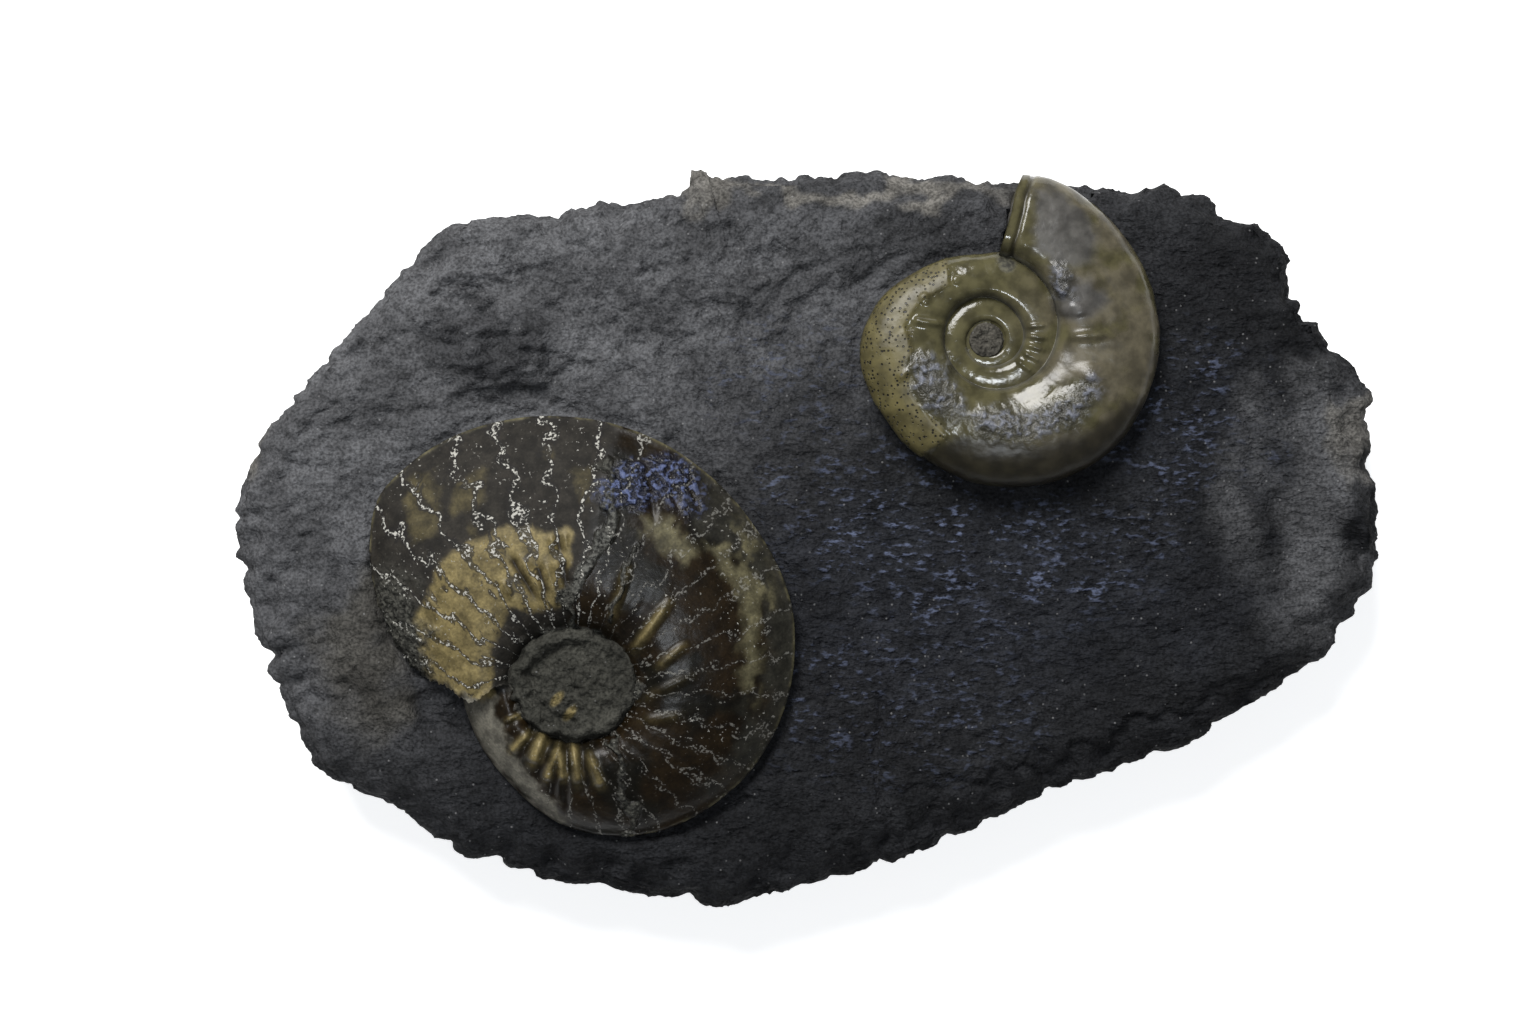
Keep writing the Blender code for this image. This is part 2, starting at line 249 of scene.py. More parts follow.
LARGE = Coil(
    place=(-27.0, -17.0, 14.6),
    tilt=(1.0, -2.0),
    mouth=178,
    rim=(
        (0, 18.0), (14, 22.5), (32, 28.4), (45, 31.4), (88, 30.8), (133, 27.8), (157, 26.7),
        (178, 24.9), (203, 22.6), (227, 20.4), (268, 16.5), (303, 13.6), (335, 12.9), (360, 13.2),
    ),
    seam=((0, 7.2), (90, 6.4), (180, 6.9), (270, 6.3), (360, 6.2)),
    depth=((0, 4.6), (30, 5.2), (90, 6.0), (180, 5.8), (270, 4.7), (360, 3.8)),
    crest=((0, 0.24), (180, 0.24), (360, 0.24)),
    flank_power=1.7,
    back_power=1.25,
    floor=1.4,
    turns=1,
    ragged=0.9,
    lead=(
        (6.5, 0), (8.6, 2), (10.1, 8), (11.6, 11), (12.7, 8), (14.3, 2.5), (17.1, -1), (18, -2),
    ),
    columns=620,
    rows=(94, 24),
    lower_rows=(14, 3),
)

SMALL = Coil(
    place=(20.8, 22.8, 16.2),
    tilt=(-4.0, 1.0),
    mouth=80,
    rim=(
        (0, 19.7), (9, 20.2), (35, 20.1), (80, 19.9), (125, 19.0), (170, 16.8), (215, 14.9),
        (260, 14.4), (305, 11.2), (345, 10.0), (360, 10.3), (400, 9.9), (450, 9.0), (540, 7.0),
        (630, 5.9), (720, 5.4), (810, 4.7), (900, 3.9), (1080, 3.2),
    ),
    seam=(
        (0, 10.0), (48, 8.8), (95, 7.3), (159, 5.9), (225, 5.1), (330, 5.0), (390, 4.4),
        (440, 4.05), (505, 3.25), (620, 2.5), (720, 2.15), (800, 2.0), (1080, 1.9),
    ),
    depth=(
        (0, 3.4), (90, 3.9), (180, 3.6), (270, 3.0), (360, 2.4), (540, 1.75), (720, 1.35),
        (900, 1.1), (1080, 0.9),
    ),
    crest=(
        (0, 0.2), (44, 0.2), (110, 0.36), (170, 0.42), (222, 0.3), (279, 0.27), (350, 0.17),
        (440, 0.3), (530, 0.27), (710, 0.22), (1080, 0.22),
    ),
    flank_power=2.4,
    back_power=2.1,
    floor=0.9,
    turns=3,
    ragged=0.0,
    lead=((6, 3), (10.6, 2.4), (11.7, 1.4), (14.5, -0.2), (16.8, -0.5), (19.8, -2.3)),
    columns=420,
    rows=(46, 12),
    lower_rows=(12, 3),
)
MOUTH_RINGS = 10


class Surface:
    """The points and faces of a mesh in the making."""

    def __init__(self):
        self.points = []
        self.faces = []

    def add(self, points):
        """Adds a block of points, and returns their numbers in the same layout."""
        points = np.asarray(points, float)
        first = len(self.points)
        self.points.extend(points.reshape(-1, 3))
        return first + np.arange(points.size // 3).reshape(points.shape[:-1])

    def quads(self, grid, flip=False):
        """Faces between neighbours in a grid of point numbers."""
        corners = (grid[:-1, :-1], grid[:-1, 1:], grid[1:, 1:], grid[1:, :-1])
        faces = np.stack(corners, axis=-1).reshape(-1, 4)
        self.faces.extend((faces[:, ::-1] if flip else faces).tolist())

    def fan(self, hub, edge, flip=False):
        """Triangles from one point to each pair of neighbours along an edge."""
        for before, after in zip(edge, edge[1:]):
            face = [int(hub), int(before), int(after)]
            self.faces.append(face[::-1] if flip else face)


def coil_side(coil, columns, flank_rows, wall_rows):
    """The smooth surface of one side of a coil, column by column back from the mouth: turn angle,
    radius, height over the middle plane, and the outward direction as radius and height.
    Rows run from the rim, or from where the next whorl covers it, down to the seam.
    """
    angle = (np.arange(columns) * 360.0 / coil.columns)[:, None]
    rim, seam = along(coil.rim, angle), along(coil.seam, angle)
    crest, depth = coil.crest_radius(angle), along(coil.depth, angle)
    covered = np.where(angle >= 360, along(coil.seam, angle - 360), rim)
    reach = np.clip((covered - crest) / (rim - crest), 0, 1)
    start = np.arccos(reach ** (coil.flank_power / 2))
    turn = start + (np.pi / 2 - start) * np.arange(flank_rows + 1) / flank_rows
    out = np.clip(np.cos(turn), 0, 1) ** (2 / coil.flank_power)
    flank = crest + (rim - crest) * out, depth * np.sin(turn) ** (2 / coil.back_power)
    foot = coil.foot_height(angle)
    fall = np.pi / 2 * np.arange(1, wall_rows + 1) / wall_rows
    wall = crest - (crest - seam) * np.sin(fall), foot + (depth - foot) * np.cos(fall)
    radius = np.concatenate((flank[0], wall[0]), axis=1)
    height = np.concatenate((flank[1], wall[1]), axis=1)
    step_in, step_up = np.gradient(radius, axis=1), np.gradient(height, axis=1)
    length = np.hypot(step_in, step_up) + 1e-9
    return np.broadcast_to(angle, radius.shape), radius, height, step_up / length, -step_in / length


def coil_points(coil, side, angle, radius, height, out, up, relief=0.0):
    """Points of one side of a coil, above for side 1 and below for side -1."""
    ragged = coil.ragged * np.sin(radius * 9.1) * np.sin(radius * 3.7 + 1)
    lead = (along(coil.lead, radius) + ragged) * np.clip(1 - angle / 40, 0, 1) ** 2
    facing = np.radians(coil.mouth - angle + lead)
    radius, height = radius + out * relief, height + up * relief
    local = np.stack((radius * np.cos(facing), radius * np.sin(facing), side * height), axis=-1)
    return coil.in_place(local)


def coil_surface(coil, relief):
    """A whole coil as one closed surface, and for each point of it the turn angle, the radius and
    whether it lies on the broken mouth. relief says how far the upper side stands out of the
    smooth shell.
    """
    surface = Surface()
    turn, count = coil.columns, coil.columns * coil.turns + 1
    upper = coil_side(coil, count, *coil.rows)
    smooth = coil_points(coil, 1, *upper)
    points = coil_points(coil, 1, *upper, relief=relief(smooth, upper[0], upper[1]))
    top = np.empty(upper[1].shape, int)
    top[:turn, 0] = surface.add(points[:turn, 0])
    top[:, 1:] = surface.add(points[:, 1:])
    top[turn:, 0] = top[: count - turn, -1]
    lower = coil_side(coil, turn + 1, *coil.lower_rows)
    points = coil_points(coil, -1, *lower)
    bottom = np.empty(lower[1].shape, int)
    bottom[:turn, 0] = top[:turn, 0]
    bottom[:, 1:] = surface.add(points[:, 1:])
    bottom[turn, 0] = bottom[0, -1]
    blocks = (
        (upper[0][:turn, 0], upper[1][:turn, 0]),
        (upper[0][:, 1:], upper[1][:, 1:]),
        (lower[0][:, 1:], lower[1][:, 1:]),
    )
    facts = np.concatenate([np.stack(block, axis=-1).reshape(-1, 2) for block in blocks])
    for grid, flip in ((top, False), (bottom, True)):
        surface.quads(grid, flip)
        seam = list(grid[-1 - turn :, -1])
        surface.fan(seam[1], grid[-1], not flip)
        hub = surface.add(np.mean([surface.points[number] for number in seam[1:]], axis=0))
        surface.fan(hub, seam[1:] + [seam[1]], not flip)
    close_mouth(surface, top[turn - 1, 0], top[0], bottom[0])
    added = len(surface.points) - len(facts)
    facts = np.concatenate((facts, np.tile((360.0 * coil.turns, 0.0), (added, 1))))
    broken = np.arange(len(facts)) >= len(facts) - added + 2
    return surface, facts[:, 0], facts[:, 1], broken


def close_mouth(surface, inner, upper, lower):
    """The broken end of the last whorl, drawn in to the rim of the whorl inside it."""
    edge = list(upper[::-1]) + list(lower[1:])
    outer = np.array([surface.points[number] for number in edge])
    hub = surface.points[inner]
    rings = [np.array(edge)]
    for ring in range(1, MOUTH_RINGS):
        share = ring / MOUTH_RINGS
        level = outer[1:-1] * (1 - share) + hub * share
        dent = 0.35 * math.sin(math.pi * share) * fractal(level, 1.6, 3)
        numbers = surface.add(level + dent[:, None] * np.array((0.3, 0.3, 0.1)))
        rings.append(np.concatenate(([edge[0]], numbers, [edge[-1]])))
    for before, after in zip(rings, rings[1:]):
        for step in range(len(edge) - 1):
            face = [before[step], after[step], after[step + 1], before[step + 1]]
            face = [int(number) for number in dict.fromkeys(face)]
            surface.faces.append(face)
    surface.fan(inner, rings[-1])


def put_in_scene(name, surface, material, values):
    """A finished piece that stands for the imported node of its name. values holds what the
    material reads at each point, by name.
    """
    mesh = bpy.data.meshes.new(name + "_look")
    mesh.from_pydata((np.array(surface.points) * MM).tolist(), [], surface.faces)
    mesh.shade_smooth()
    for key, data in values.items():
        data = np.asarray(data, float)
        kind, field = ("FLOAT", "value") if data.ndim == 1 else ("FLOAT_VECTOR", "vector")
        mesh.attributes.new(key, kind, "POINT").data.foreach_set(field, data.ravel())
    mesh.materials.append(material)
    piece = bpy.data.objects.new(name + "_look", mesh)
    bpy.context.scene.collection.objects.link(piece)
    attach(piece, "root")
    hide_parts(name)
    return piece


class Finish:
    """Colour, roughness and metal of each point, painted one patch over another."""

    def __init__(self, count, first):
        self.value = np.tile(np.array(first, float), (count, 1))

    def lay(self, share, finish):
        share = np.clip(np.asarray(share, float), 0, 1)[:, None]
        self.value += share * (np.array(finish) - self.value)

    def values(self):
        return {"tint": self.value[:, :3], "rough": self.value[:, 3], "metal": self.value[:, 4]}


# Finishes: red, green, blue, roughness and metal.
DARK_SHALE = (0.0125, 0.013, 0.0145, 0.80, 0)
PALE_SHALE = (0.084, 0.085, 0.089, 0.85, 0)
# Beige edge shale: partly the rock's own colour and partly painted highlight on the slab's edges.
WARM_LIT_SHALE = (0.135, 0.128, 0.115, 0.90, 0)
BROWN_SHALE = (0.060, 0.056, 0.047, 0.85, 0)
# Dark shale with a painted blue sheen, for the fresh layers.
BLUE_SHEEN_SHALE = (0.015, 0.0165, 0.021, 0.60, 0)
CRUST_SHALE = (0.036, 0.0355, 0.030, 0.90, 0)
CRACK_SHALE = (0.060, 0.060, 0.054, 0.90, 0)
BLACK_SHELL = (0.0045, 0.0040, 0.0025, 0.32, 0)
BAND_SHELL = (0.017, 0.015, 0.012, 0.75, 0)
MARGIN_SHELL = (0.022, 0.021, 0.016, 0.50, 0)
BROWN_SHELL = (0.0115, 0.0070, 0.0028, 0.30, 0)
GOLD_SHELL = (0.145, 0.115, 0.050, 0.45, 0.10)
OLIVE_SHELL = (0.055, 0.045, 0.020, 0.65, 0)
TAN_SHELL = (0.085, 0.076, 0.042, 0.50, 0)
# Dark blue tint under the large shell's painted blue glints.
BLUE_GLINT_SHELL = (0.011, 0.012, 0.020, 0.20, 0)
GREY_VENTER = (0.100, 0.094, 0.076, 0.60, 0)
# Painted shade for the furrows between the ribs.
FURROW_SHADE = (0.007, 0.005, 0.003, 0.40, 0)


def layered_share(column, row):
    """How much the slab's top shows fine layers there, and not knobbly weathered rock."""
    across = (column - 640) * 0.62 + (row - 420) * 0.78
    return smooth_step(-60, 260, across)


def slab_height(x, y, gap):
    """The slab's top over points of the ground that lie gap inside its outline."""
    column, row = on_photo(x, y, SLAB_TOP)
    place = np.stack((x, y, np.zeros_like(x)), axis=-1)
    layered = layered_share(column, row)
    crumble = fractal(place, 5, 3, seed=3)
    height = SLAB_TOP + 0.9 * fractal(place, 38, 2, seed=1)
    height -= RIM_DROP * (1 - smooth_step(0, RIM_WIDTH, gap + 3 * crumble)) ** 1.5
    for centre, radii, rise in SWELLS:
        height += rise * blob(column + 40 * crumble, row, centre, radii)
    for line, drop in LEDGES:
        away, side, share = near_line(column + 22 * crumble, row + 22 * crumble, line)
        away = away * side
        fall = smooth_step(-3, 3, away) * np.exp(-np.clip(away, 0, None) / LEDGE_REACH)
        height -= drop * fall * np.sin(np.pi * share) ** 0.5
    for line, half_width, depth in CRACKS:
        away, _, _ = near_line(column + 12 * crumble, row, line)
        height -= depth * np.exp(-((away / half_width) ** 2))
    wavy = place + np.stack((0 * x, 1.6 * crumble, 0 * x), axis=-1)
    slanting = fractal(turned(wavy, 20) / (4.5, 1.5, 1), 1, 4, seed=7)
    level = fractal(turned(wavy, 4) / (3.6, 1.2, 1), 1, 5, seed=8)
    pits = np.clip(fractal(place, 3.4, 4, seed=5) - 0.10, 0, None)
    weathered = 0.24 * slanting - 1.1 * pits + 0.30 * fractal(place, 1.0, 4, seed=6)
    fresh = 0.26 * (slanting + smooth_step(400, 560, row) * (level - slanting))
    height += weathered + layered * (fresh - weathered)
    lumps = fractal(place, 2.6, 3, seed=9)
    return height + 1.5 * lumps * blob(column + 25 * crumble, row, (492, 345), (80, 66))


def under_coils(x, y, height):
    """Keeps the slab's top clear of both shells, with a shallow gutter round each."""
    for coil in (LARGE, SMALL):
        angle, radius = coil.polar(x, y)
        inside = along(coil.rim, angle) - radius
        limit = coil.plane_height(x, y) - coil.flank_height(angle, radius) - 0.15
        height = height - 0.55 * np.exp(-(((inside + 0.5) / 0.8) ** 2))
        height = np.where(inside > -0.3, np.minimum(height, limit), height)
    return height


def square_rings(count):
    """The corners of a square grid, as rings that hold each corner's row and column."""
    rings = []
    for ring in range(count // 2 + 1):
        side = count - 2 * ring
        path = [(ring, ring + step) for step in range(side)]
        path += [(ring + step, count - ring) for step in range(side)]
        path += [(count - ring, count - ring - step) for step in range(side)]
        path += [(count - ring - step, ring) for step in range(side)]
        rings.append(path or [(ring, ring)])
    return rings


def round_outline(count):
    """Points at even steps round the slab's outline, clockwise from above."""
    corners = np.array([from_photo(*corner) for corner in SLAB_OUTLINE])
    closed = np.concatenate((corners, corners[:1]))
    travelled = np.concatenate(([0], np.cumsum(np.hypot(*np.diff(closed, axis=0).T))))
    at = np.arange(count) / count * travelled[-1]
    return np.stack([np.interp(at, travelled, closed[:, axis]) for axis in (0, 1)], axis=-1)


def slab_surface():
    """A square grid drawn out to the slab's outline, with its layered side and flat underside."""
    surface = Surface()
    rings = square_rings(SLAB_GRID)
    flat, gaps = [], []
    for ring, path in enumerate(rings):
        edge = round_outline(len(path))
        length = np.hypot(*edge.T)
        out = (1 - RIM_INSET / length) * (1 - ring / (len(rings) - 1))
        flat.append(edge * out[:, None])
        gaps.append(length * (1 - out))
    flat, gaps = np.concatenate(flat), np.concatenate(gaps)
    x, y = flat.T
    height = under_coils(x, y, slab_height(x, y, gaps))
    numbers = surface.add(np.stack((x, y, height), axis=-1))
    grid = np.empty((SLAB_GRID + 1, SLAB_GRID + 1), int)
    for number, (row, column) in zip(numbers, (corner for path in rings for corner in path)):
        grid[row, column] = number
    surface.quads(grid, flip=True)
    around = len(rings[0])
    side = surface.add(side_points(round_outline(around), height[:around]))
    wall = np.concatenate((numbers[None, :around], side))
    wall = np.concatenate((wall, wall[:, :1]), axis=1)
    surface.quads(wall)
    surface.fan(surface.add(np.zeros(3)), wall[-1])
    return surface


def side_points(outline, rim_height):
    """Rows of points down the slab's side, which breaks along thin level layers."""
    drop = np.linspace(0, 1, SIDE_ROWS + 1)[1:, None]
    height = rim_height * (1 - drop)
    edge = np.broadcast_to(outline, (SIDE_ROWS, *outline.shape))
    place = np.concatenate((edge, height[..., None]), axis=-1).reshape(-1, 3)
    layers = fractal(place / (13, 13, 0.9), 1, 4, seed=11)
    chips = fractal(place / (2.4, 2.4, 0.8), 1, 3, seed=12)
    rough = (0.8 * layers + 0.45 * chips).reshape(height.shape)
    rough *= smooth_step(0, 0.8, height)
    ground = np.concatenate((outline, np.zeros((len(outline), 1))), axis=1)
    teeth = 0.7 * np.clip(fractal(ground, 1.9, 4, seed=13) + 0.2, 0, None)
    inset = along(SLAB_SIDE, height) + np.abs(rough) + teeth
    column, row = on_photo(outline[:, 0], outline[:, 1], WIDEST_HEIGHT)
    spur = np.exp(-(((column - SPUR_PLACE[0]) / 12) ** 2)) * (np.abs(row - SPUR_PLACE[1]) < 25)
    inset += 2.0 * spur * smooth_step(0.6, 2.2, np.abs(height - 10.4))
    flat = edge * (1 - inset / np.hypot(*outline.T))[..., None]
    return np.concatenate((flat, height[..., None]), axis=-1)


# Paler, beige, browner and bluer zones of the slab, in pixels: the middle, the two radii, the finish
# and share.
# The pale zones on the left half are partly the weathered rock's own tone and partly painted light
# from the upper left; the beige zones on the edges are partly the rock's colour and partly painted
# highlight; the blue zones are a painted blue sheen on the dark fresh layers.
SLAB_ZONES = (
    ((430, 330), (330, 240), PALE_SHALE, 0.75),
    ((640, 300), (360, 170), PALE_SHALE, 0.55),
    ((300, 560), (150, 260), PALE_SHALE, 0.45),
    ((480, 470), (380, 90), PALE_SHALE, 0.35),
    ((1310, 500), (90, 190), PALE_SHALE, 0.75),
    ((820, 182), (260, 18), WARM_LIT_SHALE, 0.8),
    ((254, 446), (30, 40), WARM_LIT_SHALE, 0.8),
    ((1366, 430), (24, 90), WARM_LIT_SHALE, 0.6),
    ((370, 640), (64, 130), BROWN_SHALE, 0.7),
    ((990, 600), (330, 130), BLUE_SHEEN_SHALE, 0.6),
    ((1180, 420), (120, 120), BLUE_SHEEN_SHALE, 0.4),
)


# Where blue glints are painted on the slab's fresh layers, in pixels: the middle, the two radii and
# the share.
PAINTED_GLINT_ZONES = (
    ((980, 560), (240, 90), 0.8),
    ((860, 500), (120, 80), 0.6),
    ((1180, 420), (100, 120), 0.6),
    ((900, 700), (200, 110), 0.45),
    ((800, 380), (120, 90), 0.3),
)


def slab_values(surface):
    points = np.array(surface.points)
    column, row = on_photo(*points.T)
    finish = Finish(len(points), DARK_SHALE)
    # Paler towards the upper left, where the rock is weathered: partly its own tone and partly
    # painted light from the upper left.
    finish.lay(0.45 * (1 - layered_share(column, row)), PALE_SHALE)
    wobble = 60 * fractal(points, 9, 3, seed=21)
    for centre, radii, kind, share in SLAB_ZONES:
        finish.lay(share * blob(column + wobble, row + wobble, centre, radii), kind)
    # Darker over the knob: partly the lump's own tone and partly painted shade among its lumps.
    finish.lay(0.55 * blob(column + wobble, row, (495, 350), (80, 60)), DARK_SHALE)
    values = finish.values()
    values["layers"] = layered_share(column, row)
    # The share of painted blue glints over the slab's top.
    zones = sum(share * blob(column + wobble, row, *zone) for *zone, share in PAINTED_GLINT_ZONES)
    values["painted_glint"] = np.clip(zones * smooth_step(-0.35, 0.3, fractal(points, 3, 4, seed=22)), 0, 1)
    return values


# Ribs of the large shell, in pixels: from, to, half width, rise, and how golden the rib is.
LARGE_RIBS = (
    ((502, 581), (510, 595), 4.0, 0.35, 1.0),
    ((522, 560), (541, 592), 5.0, 0.40, 0.8),
    ((546, 563), (557, 602), 5.0, 0.50, 1.0),
    ((551, 536), (554, 552), 3.5, 0.25, 1.0),
    ((565, 535), (567, 548), 3.0, 0.25, 0.9),
    ((611, 622), (627, 568), 4.5, 0.45, 0.35),
    ((633, 651), (668, 603), 4.5, 0.50, 0.8),
    ((658, 667), (684, 645), 4.0, 0.35, 0.45),
    ((642, 721), (681, 715), 5.0, 0.25, 0.15),
    ((640, 700), (690, 676), 5.0, 0.25, 0.1),
    ((506, 721), (532, 710), 3.0, 0.35, 0.8),
    ((510, 752), (530, 733), 4.0, 0.35, 1.0),
    ((532, 764), (549, 723), 6.0, 0.50, 1.0),
    ((546, 781), (559, 746), 4.0, 0.45, 1.0),
    ((564, 781), (559, 746), 4.0, 0.45, 1.0),
    ((579, 785), (573, 741), 4.5, 0.45, 0.9),
    ((601, 787), (590, 755), 4.5, 0.45, 0.8),
)
# Furrows between them: from, to, half width and depth.
LARGE_FURROWS = (
    ((510, 556), (536, 598), 4.0, 0.35),
    ((538, 565), (547, 596), 3.5, 0.25),
    ((562, 560), (569, 598), 4.5, 0.35),
    ((557, 536), (560, 552), 3.0, 0.2),
    ((504, 728), (536, 704), 3.0, 0.3),
    ((516, 762), (541, 720), 4.0, 0.4),
    ((536, 782), (553, 724), 4.0, 0.35),
    ((553, 800), (556, 764), 3.5, 0.4),
    ((566, 810), (566, 742), 3.5, 0.4),
    ((584, 800), (582, 748), 5.0, 0.35),
    ((622, 640), (650, 600), 7.0, 0.2),
    ((646, 462), (654, 520), 3.2, 0.35),
    ((668, 466), (677, 504), 3.2, 0.35),
    ((686, 478), (700, 512), 3.2, 0.25),
)
# Cracks of the large shell that are full of shale, in pixels: a line and its half width.
FILLED_CRACKS = (
    (((602, 466), (607, 485), (610, 533), (598, 548), (582, 571), (574, 590), (566, 603)), 6.0),
    (((566, 603), (570, 618), (574, 634)), 4.5),
    (((611, 620), (616, 600), (627, 562), (634, 548)), 2.2),
    (((608, 730), (617, 745), (623, 763), (620, 780), (627, 794), (636, 810), (630, 830)), 3.6),
)
UMBILICUS_PLACE, UMBILICUS_RADII = (575, 683), (60, 51)
GOLD_PATCH = (
    (430, 672), (413, 648), (411, 622), (428, 596), (436, 568), (455, 550), (480, 538), (505, 528),
    (545, 531), (572, 533), (570, 560), (562, 602), (545, 612), (528, 610), (508, 608), (497, 630),
    (490, 655), (492, 670), (489, 700), (477, 706), (467, 698), (453, 690), (440, 684),
)
OLIVE_PATCHES = (
    ((410, 478), (432, 470), (438, 500), (436, 535), (414, 540), (404, 510)),
    ((455, 480), (484, 470), (484, 500), (470, 512), (452, 512)),
    ((573, 470), (592, 468), (590, 500), (578, 506)),
    ((544, 447), (554, 447), (553, 456), (545, 456)),
    ((471, 524), (480, 524), (478, 536), (470, 536)),
)
TAN_PATCHES = (
    ((690, 512), (712, 522), (736, 520), (760, 552), (776, 592), (776, 622), (752, 614), (730, 584)),
    ((742, 600), (760, 612), (762, 680), (752, 712), (744, 680)),
    ((640, 520), (668, 520), (700, 548), (690, 560), (660, 548)),
)
# Where blue glints are painted on the large shell, in pixels: the middle, the two radii and the
# share.
PAINTED_BLUE_GLINTS = (
    ((633, 487), (30, 34), 1.0),
    ((668, 474), (40, 30), 0.9),
    ((606, 492), (18, 22), 0.5),
    ((690, 500), (26, 26), 0.4),
)
VENTER_BAND = (
    (462, 692), (476, 700), (492, 702), (504, 724), (508, 752), (528, 776), (556, 800), (566, 826),
    (540, 812), (500, 775), (478, 745), (464, 715),
)


def over_marks(column, row, marks):
    """How strongly each straight mark covers each pixel, given its own half width."""
    shares = []
    for mark in marks:
        away, _, share = near_line(column, row, mark[:2])
        ends = smooth_step(0, 0.15, share) * (1 - 0.7 * smooth_step(0.8, 1, share))
        shares.append(np.exp(-((away / mark[2]) ** 2)) * (0.25 + 0.75 * ends))
    return np.array(shares)


def large_relief(points, angle, radius):
    """How far the large shell's surface stands out: keel, ribs, furrows, crack and crust."""
    column, row = on_photo(*np.moveaxis(points, -1, 0))
    place = points.reshape(-1, 3)
    fine = fractal(place, 1.1, 3, seed=31).reshape(angle.shape)
    broad = fractal(place, 9, 2, seed=32).reshape(angle.shape)
    rim = along(LARGE.rim, angle)
    relief = 0.12 * broad + 0.02 * fine
    keel = smooth_step(10, 40, angle) * (1 - smooth_step(260, 300, angle))
    relief += 0.25 * keel * np.exp(-(((rim - radius) / 0.4) ** 2))
    inner = 1 - smooth_step(0.35, 0.75, (radius - 7) / (rim - 7))
    ribs = np.sin(np.radians(angle * 40 + 25 * (radius - 7)))
    relief += 0.012 * inner * ribs * smooth_step(100, 120, angle) * (1 - smooth_step(240, 260, angle))
    rises = np.array([rib[3] for rib in LARGE_RIBS])
    relief += np.tensordot(rises, over_marks(column, row, LARGE_RIBS), 1)
    depths = np.array([furrow[3] for furrow in LARGE_FURROWS])
    relief -= np.tensordot(depths, over_marks(column, row, LARGE_FURROWS), 1)
    crust = large_crust(column, row, place, angle)
    return relief + crust * (0.1 + 0.5 * fine)


def large_crust(column, row, place, angle):
    """Where grey shale sticks to the large shell: in its crack and on its crushed left side."""
    jitter = 9 * fractal(place, 2.2, 3, seed=33).reshape(column.shape)
    crust = 1.2 * blob(column + 2 * jitter, row, (392, 640), (44, 92))
    crust = np.maximum(crust, (1 - smooth_step(0, 3, angle)) * (0.35 + 0.05 * jitter))
    right, down = column - UMBILICUS_PLACE[0], row - UMBILICUS_PLACE[1]
    away = np.hypot(right / UMBILICUS_RADII[0], down / UMBILICUS_RADII[1])
    crust = np.maximum(crust, 1 - smooth_step(1.0, 1.12, away + 0.02 * jitter))
    for line, half_width in FILLED_CRACKS:
        away, _, _ = near_line(column + jitter, row - jitter, line)
        edge = half_width * (1 + 0.08 * jitter)
        crust = np.maximum(crust, 1 - smooth_step(-2, 1.5, away - edge))
    return np.clip(crust, 0, 1)


def large_values(surface, angle, radius, broken):
    points = np.array(surface.points)
    column, row = on_photo(*points.T)
    wobble = 7 * fractal(points, 2.0, 4, seed=41)
    blotch = fractal(points, 7, 4, seed=42)
    at_x, at_y = column + wobble, row - wobble
    finish = Finish(len(points), BLACK_SHELL)
    band = smooth_step(-8, 8, 604 - at_x - 0.25 * (at_y - 480)) * (at_y < 690)
    finish.lay(band, BAND_SHELL)
    brown = (1 - band) * smooth_step(-0.1, 0.4, blotch + 0.25)
    finish.lay(0.8 * brown, BROWN_SHELL)
    rim = along(LARGE.rim, angle)
    margin = (1 - smooth_step(1.5, 4.6, rim - radius + 4 * blotch)) * smooth_step(100, 120, angle)
    finish.lay(0.8 * margin * (1 - smooth_step(190, 230, angle)), MARGIN_SHELL)
    for corners in OLIVE_PATCHES:
        finish.lay(0.85 * patch(at_x, at_y, corners, 10), OLIVE_SHELL)
    finish.lay(patch(at_x, at_y, GOLD_PATCH, 8), GOLD_SHELL)
    for corners in TAN_PATCHES:
        worn = patch(at_x, at_y, corners, 18) * smooth_step(-0.25, 0.15, blotch + wobble / 14)
        finish.lay(worn, TAN_SHELL)
    # Painted blue glints: a dark blue tint where the shell is to glint.
    blue = sum(share * blob(at_x, at_y, *zone) for *zone, share in PAINTED_BLUE_GLINTS)
    finish.lay(blue, BLUE_GLINT_SHELL)
    finish.lay(patch(at_x, at_y, VENTER_BAND, 10), GREY_VENTER)
    # Painted shade in the furrows between the ribs.
    finish.lay(over_marks(column, row, LARGE_FURROWS).max(axis=0), FURROW_SHADE)
    golden = np.array([rib[4] for rib in LARGE_RIBS])
    ribs = over_marks(column, row, LARGE_RIBS)
    finish.lay((ribs * golden[:, None]).max(axis=0), GOLD_SHELL)
    keel = np.exp(-(((rim - radius) / 0.16) ** 2)) * (angle < 250) * ~broken
    finish.lay(keel * smooth_step(-0.15, 0.25, wobble / 7 + 0.1), TAN_SHELL)
    crust = large_crust(column, row, points, angle)
    in_crack = 1.2 * blob(column, row, (600, 545), (46, 90))
    finish.lay(crust, CRUST_SHALE)
    finish.lay(crust * in_crack, CRACK_SHALE)
    finish.lay(broken, BROWN_SHALE)
    values = finish.values()
    values["crust"] = crust
    values["painted_glint"] = blue
    values["suture"] = (1 - 0.75 * smooth_step(95, 112, angle)) * (angle < 280) * ~broken
    values["coil"] = np.stack((np.radians(angle) * 25, rim - radius, 0 * radius), axis=-1)
    return values


